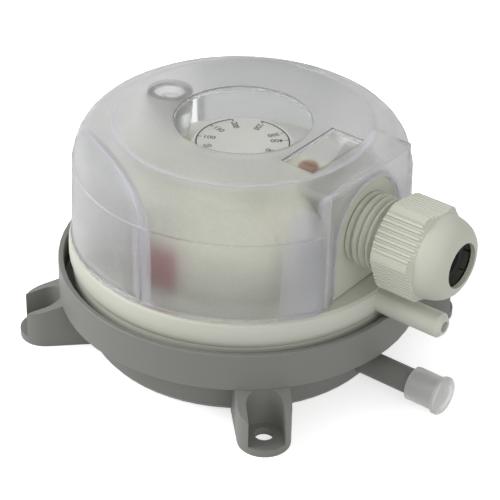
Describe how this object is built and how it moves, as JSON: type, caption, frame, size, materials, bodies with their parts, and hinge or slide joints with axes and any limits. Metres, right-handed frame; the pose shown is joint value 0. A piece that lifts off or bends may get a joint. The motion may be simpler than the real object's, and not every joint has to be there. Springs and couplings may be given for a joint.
{
  "type": "differential pressure switch",
  "caption": "Round air differential pressure switch with side nipples, four slotted lugs, cable gland, setting dial and frosted lift-off cover",
  "frame": {"origin": "on the main axis of the round housing, in the plane of the wall that the base is screwed to", "axes": "+Z away from the wall through the cover, +X along the cable gland and both pressure nipples, +Y across"},
  "size_m": [0.1019, 0.085, 0.0553],
  "materials": {
    "base_grey": "fine matt moulded grey plastic",
    "cap_soft": "soft translucent natural plastic",
    "rubber_black": "matt black rubber",
    "plate_aluminium": "plain pressed aluminium",
    "inner_white": "off-white moulded plastic",
    "housing_beige": "satin light beige moulded plastic",
    "gland_beige": "satin light beige moulded plastic",
    "plated_steel": "zinc plated steel",
    "switch_red": "dark red moulded plastic",
    "dial_pale": "pale plastic with a black printed scale",
    "lacquer_red": "screw sealed with red-brown lacquer",
    "terminal_brass": "plain brass",
    "cover_frosted": "frosted lilac-grey translucent plastic with clear windows"
  },
  "bodies": {
    "housing": {"lower_housing": "base_grey", "diaphragm": "rubber_black", "upper_housing": "housing_beige", "lever_pin": "plated_steel", "switch_case": "switch_red", "switch_lid": "switch_red", "spring_tower": "housing_beige", "calibration_screw": "lacquer_red", "terminal_base": "inner_white", "terminal_common": "terminal_brass", "terminal_closed": "terminal_brass", "terminal_open": "terminal_brass", "gland_plate": "gland_beige", "gland_body": "gland_beige", "gland_lock_nut": "gland_beige", "gland_seal": "rubber_black", "gland_claw": "inner_white", "setting_spring": "plated_steel"},
    "plunger_group": {"plunger": "inner_white", "diaphragm_plate": "plate_aluminium"},
    "lever": {"switch_lever": "plated_steel"},
    "button": {"switch_button": "inner_white"},
    "dial": {"setting_dial": "dial_pale"},
    "seat": {"spring_seat": "plated_steel"},
    "common_screw": {"terminal_common_screw": "plated_steel"},
    "closed_screw": {"terminal_closed_screw": "plated_steel"},
    "open_screw": {"terminal_open_screw": "plated_steel"},
    "dome_nut": {"gland_dome_nut": "gland_beige"},
    "cover_group": {"cover": "cover_frosted"},
    "cover_fixing": {"cover_screw": "plated_steel"},
    "dust_cap": {"p1_dust_cap": "cap_soft"}
  },
  "joints": [
    {"name": "plunger_slide", "type": "slide", "parent": "housing", "child": "plunger_group", "axis": [0, 0, 1], "range_m": [0, 0.0008]},
    {"name": "lever_hinge", "type": "hinge", "parent": "housing", "child": "lever", "pos_m": [0, -0.0102, 0.0302], "axis": [1, 0, 0], "range_deg": [0, 4.6]},
    {"name": "button_slide", "type": "slide", "parent": "housing", "child": "button", "axis": [0, -1, 0], "range_m": [0, 0.00032]},
    {"name": "dial_hinge", "type": "hinge", "parent": "housing", "child": "dial", "pos_m": [0, 0, 0.048], "axis": [0, 0, 1], "range_deg": [0, 270]},
    {"name": "seat_slide", "type": "slide", "parent": "housing", "child": "seat", "axis": [0, 0, -1], "range_m": [0, 0.00236], "deforming": ["setting_spring"]},
    {"name": "common_screw_hinge", "type": "hinge", "parent": "housing", "child": "common_screw", "pos_m": [0.022, -0.0072, 0.038], "axis": [0, 0, 1], "continuous": true},
    {"name": "closed_screw_hinge", "type": "hinge", "parent": "housing", "child": "closed_screw", "pos_m": [0.022, 0, 0.038], "axis": [0, 0, 1], "continuous": true},
    {"name": "open_screw_hinge", "type": "hinge", "parent": "housing", "child": "open_screw", "pos_m": [0.022, 0.0072, 0.038], "axis": [0, 0, 1], "continuous": true},
    {"name": "dome_nut_hinge", "type": "hinge", "parent": "housing", "child": "dome_nut", "pos_m": [0.05, 0, 0.0406], "axis": [1, 0, 0], "continuous": true},
    {"name": "cover_lift", "type": "slide", "parent": "housing", "child": "cover_group", "axis": [0, 0, 1], "range_m": [0, 0.03]},
    {"name": "cover_screw_hinge", "type": "hinge", "parent": "cover_group", "child": "cover_fixing", "pos_m": [-0.0213, 0, 0.052], "axis": [0, 0, 1], "continuous": true},
    {"name": "dust_cap_slide", "type": "slide", "parent": "housing", "child": "dust_cap", "axis": [1, 0, 0], "range_m": [0, 0.008]}
  ],
  "couplings": [
    {"joint": "lever_hinge", "follows": "plunger_slide", "rad_per_m": 98.04},
    {"joint": "button_slide", "follows": "plunger_slide", "ratio": 0.392},
    {"joint": "dial_hinge", "follows": "seat_slide", "rad_per_m": 2000}
  ]
}
